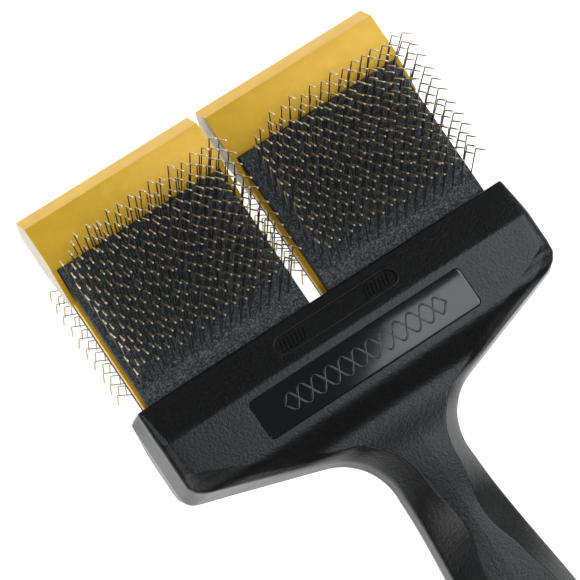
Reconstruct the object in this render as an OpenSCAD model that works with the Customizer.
// Double-width, double-sided flexible slicker brush, lying flat.
// X runs across the brush, +Y runs to the tip of the heads, +Z out of the front pin face.
// The origin is the middle of the whole brush, pins included.
// "s" below is the distance from the handle's mouth toward its butt.

/* [Handle] */
// Length of the handle from its mouth to its butt
handle_l = 152; // [150:1:156]
// Width of the handle across its shoulders
shoulder_w = 124.4; // [123:0.2:128]
// Height of the side wall of one shell beside the flat face
wall_h = 8.8; // [8:0.1:9.6]
// Height of the mouth lip above the parting plane
lip_h = 8.9; // [8.6:0.1:9.4]
// Height of the flat face above the parting plane
face_h = 12.6; // [12:0.1:13]
// Distance from the mouth to the crease where the flat face begins
crease_s = 11.7; // [11.4:0.1:12.4]
// Half width of the neck at its narrowest
neck_hw = 11.8; // [11.4:0.1:13]
// Half width of the grip at its fullest
grip_hw = 16.8; // [16:0.1:18]
// Radius of the hole for hanging the brush up
hang_r = 3; // [2.5:0.1:3.5]

/* [Heads] */
// Length of a head from the mouth to the point of its nose
head_l = 62.6; // [62:0.1:66]
// Inner edge of a head's cap, from the middle of the brush
cap_in = 1.3; // [1.2:0.1:1.5]
// Outer edge of a head's cap, from the middle of the brush
cap_out = 57.9; // [57.8:0.1:58.2]
// Half thickness of a head at its cap
cap_t = 5.3; // [5.2:0.1:6]
// Half thickness of the springy plate
plate_t = 1.05; // [0.9:0.05:1.2]
// Height of the pad's face above the parting plane
pad_h = 4.5; // [4.2:0.1:4.7]
// Thickness of the cloth foundation that carries the wires
cloth_t = 0.7; // [0.5:0.1:0.9]

/* [Wires] */
// Wires in one row
wires_x = 16; // [4:1:16]
// Rows of wires on one pad
wires_y = 21; // [5:1:21]
// Spacing of the wires along a row
pitch_x = 3.15; // [3:0.05:3.2]
// Spacing of the rows
pitch_y = 1.93; // [1.8:0.01:1.95]
// Radius of the wire
wire_r = 0.2; // [0.15:0.01:0.25]
// Height of the bend above the pad
knee_h = 14.8; // [12:0.1:17]
// How far a wire leans to the tip between the pad and its bend
lean_y = 5.2; // [3:0.1:6]
// Rise from the bend to the point
hook_h = 4; // [3:0.1:5]
// How far the point comes back to the handle
hook_y = 2.2; // [1.5:0.1:3]
// How far the outermost wires lean sideways
splay = 2.3; // [0:0.05:2.6]

/* [Hidden] */

black = [0.05, 0.05, 0.055];
gold = [0.80, 0.62, 0.17];
charcoal = [0.10, 0.105, 0.11];
steel = [0.72, 0.72, 0.70];
gloss_black = [0.02, 0.03, 0.035];

// the mouth's place on Y, so that the origin is the middle of the brush
mouth_y = (handle_l - head_l) / 2;
// everything inside the mouth
hinge_s = 2.2;       // axis that a head bends about, inside the mouth
mouth_depth = 4.4;
mouth_hw = 57.3;
mouth_in = 1.1;
mouth_h = 5.4;
lip_wall = 7;        // height of the side wall at the mouth
root_l = 16;
root_gap = 0.05;
peg_r = 2;
peg_gap = 0.06;
peg_s = 13;
// the springy plate and its pad, from the middle of the brush
plate_in = 2.2;
plate_out = 57;
plate_end = 59.6;    // how far the plate reaches inside its cap
pad_in = 3.3;
pad_out = 56.3;
pad_end = 44.9;
pad_start = -0.9;    // a pad starts just inside the mouth
first_row = 5.5;     // the first row of wires, from the mouth
nose_y = 58.8;       // where the cap's face ends and its nose begins
cap_y = 46.4;        // where the cap's face begins
cap_root = 45;       // where the cap meets the pad
lip_end = 34.9;      // where the cap's side lips run out
// the label plate
label_w = 70;
label_d = 12;
label_s = 20.1;
label_r = 1.5;
label_t = 0.9;
label_gap = 0.12;
// the long slot in the sloping band
slot_w = 39.8;
slot_d = 5.3;
slot_s = 6;
slot_deep = 0.4;
// corners of the handle's outline
mouth_r = 2;
corner_r = 4;
corner_s = 24.9;
shoulder_hw = shoulder_w / 2;
edge_a = 17.6;       // slope of the shoulder's lower edge
fillet_r = 18;       // hollow between the shoulder and the neck
corner_x = shoulder_hw - corner_r;
edge_x = corner_x + corner_r * sin(edge_a);
edge_s = corner_s + corner_r * cos(edge_a);
fillet_x = neck_hw + 0.2 + fillet_r;
fillet_s = edge_s + ((fillet_r - (fillet_x - edge_x) * sin(edge_a)) / cos(edge_a));
fillet_x0 = fillet_x - fillet_r * sin(edge_a);
fillet_s0 = fillet_s - fillet_r * cos(edge_a);
grip_s = 122;        // where the grip is fullest
butt_s = 130;        // where the butt starts to round off
hang_s = handle_l - 10;
hang_face = 5.5;
hang_pad_r = 5.4;

// smooth step from 0 to 1 as t goes from a to b
function ease(t, a, b) = (1 - cos(180 * min(1, max(0, (t - a) / (b - a))))) / 2;

// smooth curve through a short list of [s, value] pairs
function curve(s, p, i = 0) =
  s <= p[0][0] ? p[0][1]
  : i >= len(p) - 1 ? p[len(p) - 1][1]
  : s <= p[i + 1][0] ? p[i][1] + (p[i + 1][1] - p[i][1]) * ease(s, p[i][0], p[i + 1][0])
  : curve(s, p, i + 1);

// half width of the handle
function half_w(s) =
  s < mouth_r ? shoulder_hw - mouth_r + sqrt(max(0, mouth_r * mouth_r - pow(mouth_r - s, 2)))
  : s < corner_s ? shoulder_hw
  : s < edge_s ? corner_x + sqrt(corner_r * corner_r - pow(s - corner_s, 2))
  : s < fillet_s0 ? edge_x - (s - edge_s) / tan(edge_a)
  : s < fillet_s ? fillet_x - sqrt(fillet_r * fillet_r - pow(fillet_s - s, 2))
  : s < butt_s ? neck_hw + 0.2 + (grip_hw - neck_hw - 0.2) * ease(s, fillet_s, grip_s)
  : grip_hw * sqrt(max(0.02, 1 - pow((s - butt_s) / (handle_l - butt_s), 2)));

// height of the middle of a shell
function crown_h(s) =
  s < crease_s ? lip_h + (face_h - lip_h) * s / crease_s
  : curve(s, [[27.5, face_h], [37, 9.2], [50, 10.8], [74, 9.0], [118, 10.6], [142, 8.6], [handle_l, 4.2]]);

// height of the side wall, from the parting plane
function side_h(s) =
  s < crease_s ? lip_wall + (wall_h - lip_wall) * s / crease_s
  : curve(s, [[24, wall_h], [28, 8.3], [33, 6.8], [40, 5.0], [50, 4.0], [60, 3.8], [80, 4.2], [140, 4.6],
    [handle_l, 3.2]]);

// how far the side wall leans in between the parting plane and its top
function lean_w(s) = curve(s, [[0, 1.3], [11, 0.85], [24.2, 0.85], [26, 1.6], [28.7, 2.8],
  [33, 2.8], [38, 2.2], [44, 1.2], [52, 0.7], [60, 0.4], [handle_l, 0.3]]);

// distance from the outline to the ridge where the crown begins
function ridge_w(s) = curve(s, [[0, 2.5], [11.7, 3.4], [21.5, 4.0], [22.3, 5.2], [24, 9.4], [26.5, 15.2],
  [28.7, 17.6], [31.2, 16.4], [34, 13.6], [38, 9.4], [44, 6.6], [56, 6.5], [75, 9.6], [87, 7.7],
  [98, 6.4], [118, 5.8], [141, 4.6], [handle_l, 1.2]]);

// right half of one cross-section of the front shell, as [x, z] points: the wall leans in a little, then a
// rounded shoulder (k = 1) or a plain chamfer (k = 0) leads to the ridge
function right_half(s) = let(w = half_w(s), round = s < mouth_r ? shoulder_hw - w : 0, z1 = crown_h(s),
    b = max(0.4, min(ridge_w(s) - round, w * 0.9)), l = min(lean_w(s), b / 2), d = b - l,
    z0 = side_h(s), h = z1 - z0, k = 1 - ease(s, 30, 44))
  [[w, 0], [w - l, z0],
    [w - l - (0.33 - 0.29 * k) * d, z0 + (0.36 + 0.26 * k) * h],
    [w - l - (0.67 - 0.25 * k) * d, z0 + (0.69 + 0.17 * k) * h],
    [w - b, z1], [(w - b) / 2, z1 + 0.1]];
function section(s) = let(h = right_half(s), n = len(h))
  concat([for (p = h) [p[0], mouth_y - s, p[1]]], [[0, mouth_y - s, crown_h(s) + 0.15]],
    [for (i = [n - 1:-1:0]) [-h[i][0], mouth_y - s, h[i][1]]]);
stations = [0, 0.25, 0.7, 1.2, 2, 4, 7.3, crease_s, 17, 21.5, 22.3, 23.1, 24, 24.9, 25.7, 26.5, 27.3, 28,
  edge_s, 29.8, 31.2, 32.6, 34, 36, 38, fillet_s0, 41.3, 43.3, 45.5, 48, 51, 54, fillet_s, 62, 67, 71, 75, 79,
  83, 87, 93, 99, 106, 114, 122, 130, 135, 139, 142.5, 145.5, 148, 149.8, 151, handle_l];

// solid skin over a row of cross-sections
module skin(rows) {
  n = len(rows[0]);
  m = len(rows);
  points = [for (r = rows) each r];
  sides = [for (i = [0:m - 2], j = [0:n - 1]) let(a = i * n + j, b = i * n + (j + 1) % n)
    each [[a, b + n, b], [a, a + n, b + n]]];
  ends = [[for (j = [0:n - 1]) j], [for (j = [n - 1:-1:0]) (m - 1) * n + j]];
  polyhedron(points = points, faces = concat(sides, ends), convexity = 6);
}

// a rectangle with round corners
module round_rect(w, d, r) {
  square([w - 2 * r, d], center = true);
  square([w, d - 2 * r], center = true);
  for (x = [-1, 1], y = [-1, 1]) translate([x * (w / 2 - r), y * (d / 2 - r)]) circle(r, $fn = 32);
}

// the outside of one shell, with the slot, the label seat and the hanging hole
module shell_body() {
  difference() {
    skin([for (s = stations) section(s)]);
    // pockets that the two heads come out of
    for (x = [-mouth_hw, mouth_in])
      translate([x, mouth_y - mouth_depth, -1]) cube([mouth_hw - mouth_in, mouth_depth + 1, mouth_h + 1]);
    // seats for the roots of the springy plates
    for (x = [-mouth_hw, mouth_in])
      translate([x, mouth_y - hinge_s - root_l - root_gap, -1])
        cube([mouth_hw - mouth_in, root_l, plate_t + root_gap + 1]);
    // hollow of the grip
    translate([0, 0, -1])
      linear_extrude(6) polygon(concat(
        [for (s = [42:6:132]) [half_w(s) - 4, mouth_y - s]],
        [for (s = [132:-6:42]) [4 - half_w(s), mouth_y - s]]));
    // seat for the label plate
    translate([0, mouth_y - label_s, face_h - label_t])
      linear_extrude(5) round_rect(label_w + 2 * label_gap, label_d + 2 * label_gap, label_r + label_gap);
    // long slot in the sloping band
    translate([0, mouth_y - slot_s, lip_h + (face_h - lip_h) * slot_s / crease_s])
      rotate([-atan((face_h - lip_h) / crease_s), 0, 0])
        translate([0, 0, -slot_deep]) linear_extrude(4) round_rect(slot_w, slot_d, slot_d / 2 - 0.01);
    // hanging hole with a flat face round it
    translate([0, mouth_y - hang_s, -1]) cylinder(h = 30, r = hang_r, $fn = 64);
    translate([0, mouth_y - hang_s, hang_face]) cylinder(h = 30, r = hang_pad_r, $fn = 64);
  }
}

module at_pegs() {
  for (x = [-42, -17, 17, 42]) translate([x, mouth_y - peg_s, 0]) children();
}

module handle_front_shell() {
  color(black) union() {
    shell_body();
    // pegs that pass through the plate roots into the rear shell
    at_pegs() translate([0, 0, -3]) cylinder(h = 3 + plate_t + root_gap + 1, r = peg_r, $fn = 48);
  }
}

module handle_rear_shell() {
  color(black) difference() {
    mirror([0, 0, 1]) shell_body();
    at_pegs() translate([0, 0, -3.3]) cylinder(h = 4, r = peg_r + peg_gap, $fn = 48);
  }
}

module label_plate() {
  color(gloss_black) translate([0, mouth_y - label_s, face_h - label_t])
    linear_extrude(label_t) round_rect(label_w, label_d, label_r);
}
module front_label_plate() label_plate();
module rear_label_plate() mirror([0, 0, 1]) label_plate();

// the part of the springy plate that the shells clamp
module plate_root() {
  color(gold) difference() {
    translate([plate_in, mouth_y - hinge_s - root_l, -plate_t])
      cube([plate_out - plate_in, root_l - 0.2, 2 * plate_t]);
    translate([0, mouth_y - hinge_s, 0]) rotate([0, 90, 0])
      cylinder(h = 60, r = plate_t + root_gap, $fn = 48);
    for (x = [17, 42]) translate([x, mouth_y - peg_s, -5]) cylinder(h = 10, r = peg_r + peg_gap, $fn = 48);
  }
}
module right_plate_root() plate_root();
module left_plate_root() mirror([1, 0, 0]) plate_root();

// the part of the springy plate that stands out of the mouth
module flex_plate() {
  color(gold) union() {
    translate([plate_in, mouth_y - hinge_s, -plate_t])
      cube([plate_out - plate_in, plate_end + hinge_s, 2 * plate_t]);
    translate([plate_in, mouth_y - hinge_s, 0]) rotate([0, 90, 0])
      cylinder(h = plate_out - plate_in, r = plate_t - 0.005, $fn = 48);
  }
}
module right_flex_plate() flex_plate();
module left_flex_plate() mirror([1, 0, 0]) flex_plate();

// one half of the cap on a head's tip, with its two side lips
module cap_half() {
  color(gold) difference() {
    union() {
      translate([cap_in, mouth_y, 0]) rotate([90, 0, 90]) linear_extrude(cap_out - cap_in)
        polygon([[cap_root, 0], [cap_root, pad_h], [cap_y, cap_t], [nose_y, cap_t], [head_l, 0]]);
      for (x = [cap_in, pad_out + 0.2])
        translate([x, mouth_y, 0]) rotate([90, 0, 90]) linear_extrude(cap_out - pad_out - 0.2)
          polygon([[lip_end, 0], [lip_end, plate_t + 0.25], [cap_root + 0.5, pad_h], [cap_root + 0.5, 0]]);
    }
    translate([plate_in - 0.02, mouth_y - 1, -1])
      cube([plate_out - plate_in + 0.04, plate_end + 1.02, plate_t + 1.02]);
  }
}
module right_front_cap() cap_half();
module right_rear_cap() mirror([0, 0, 1]) cap_half();
module left_front_cap() mirror([1, 0, 0]) cap_half();
module left_rear_cap() mirror([1, 0, 0]) mirror([0, 0, 1]) cap_half();

// the foam pad that the wires stand in
module pad() {
  color(charcoal)
    translate([pad_in, mouth_y + pad_start, plate_t + cloth_t])
      cube([pad_out - pad_in, pad_end - pad_start, pad_h - plate_t - cloth_t]);
}
module right_front_pad() pad();
module right_rear_pad() mirror([0, 0, 1]) pad();
module left_front_pad() mirror([1, 0, 0]) pad();
module left_rear_pad() mirror([1, 0, 0]) mirror([0, 0, 1]) pad();

// a straight wire from p to q
module rod(p, q, r) {
  d = q - p;
  translate(p) rotate([0, acos(d[2] / norm(d)), atan2(d[1], d[0])]) cylinder(h = norm(d), r = r, $fn = 16);
}

// one hooked wire that leaves the pad at x, y
module wire(x, y, side) {
  foot = [x - side * plate_t / knee_h, y, plate_t + 0.3];
  knee = [x + side, y + lean_y, pad_h + knee_h];
  tip = knee + [side * hook_h / knee_h, -hook_y, hook_h];
  rod(foot, knee, wire_r);
  rod(knee + 0.3 * wire_r * (knee - tip) / norm(knee - tip), tip, wire_r * 0.94);
}

// the cloth foundation with its wires
module pin_card() {
  mid = (pad_in + pad_out) / 2;
  color(steel) union() {
    translate([pad_in + 0.3, mouth_y + pad_start + 0.4, plate_t + 0.01])
      cube([pad_out - pad_in - 0.6, pad_end - pad_start - 0.8, cloth_t - 0.02]);
    for (j = [0:wires_y - 1], i = [0:wires_x - 1]) {
      u = (i - (wires_x - 1) / 2) * pitch_x + (j % 2 == 0 ? 1 : -1) * pitch_x / 4;
      wire(mid + u, mouth_y + first_row + j * pitch_y, splay * u / 24);
    }
  }
}
module right_front_pin_card() pin_card();
module right_rear_pin_card() mirror([0, 0, 1]) pin_card();
module left_front_pin_card() mirror([1, 0, 0]) pin_card();
module left_rear_pin_card() mirror([1, 0, 0]) mirror([0, 0, 1]) pin_card();

handle_front_shell();
handle_rear_shell();
front_label_plate();
rear_label_plate();
left_plate_root();
right_plate_root();
left_flex_plate();
right_flex_plate();
left_front_cap();
left_rear_cap();
right_front_cap();
right_rear_cap();
left_front_pad();
left_rear_pad();
right_front_pad();
right_rear_pad();
left_front_pin_card();
left_rear_pin_card();
right_front_pin_card();
right_rear_pin_card();
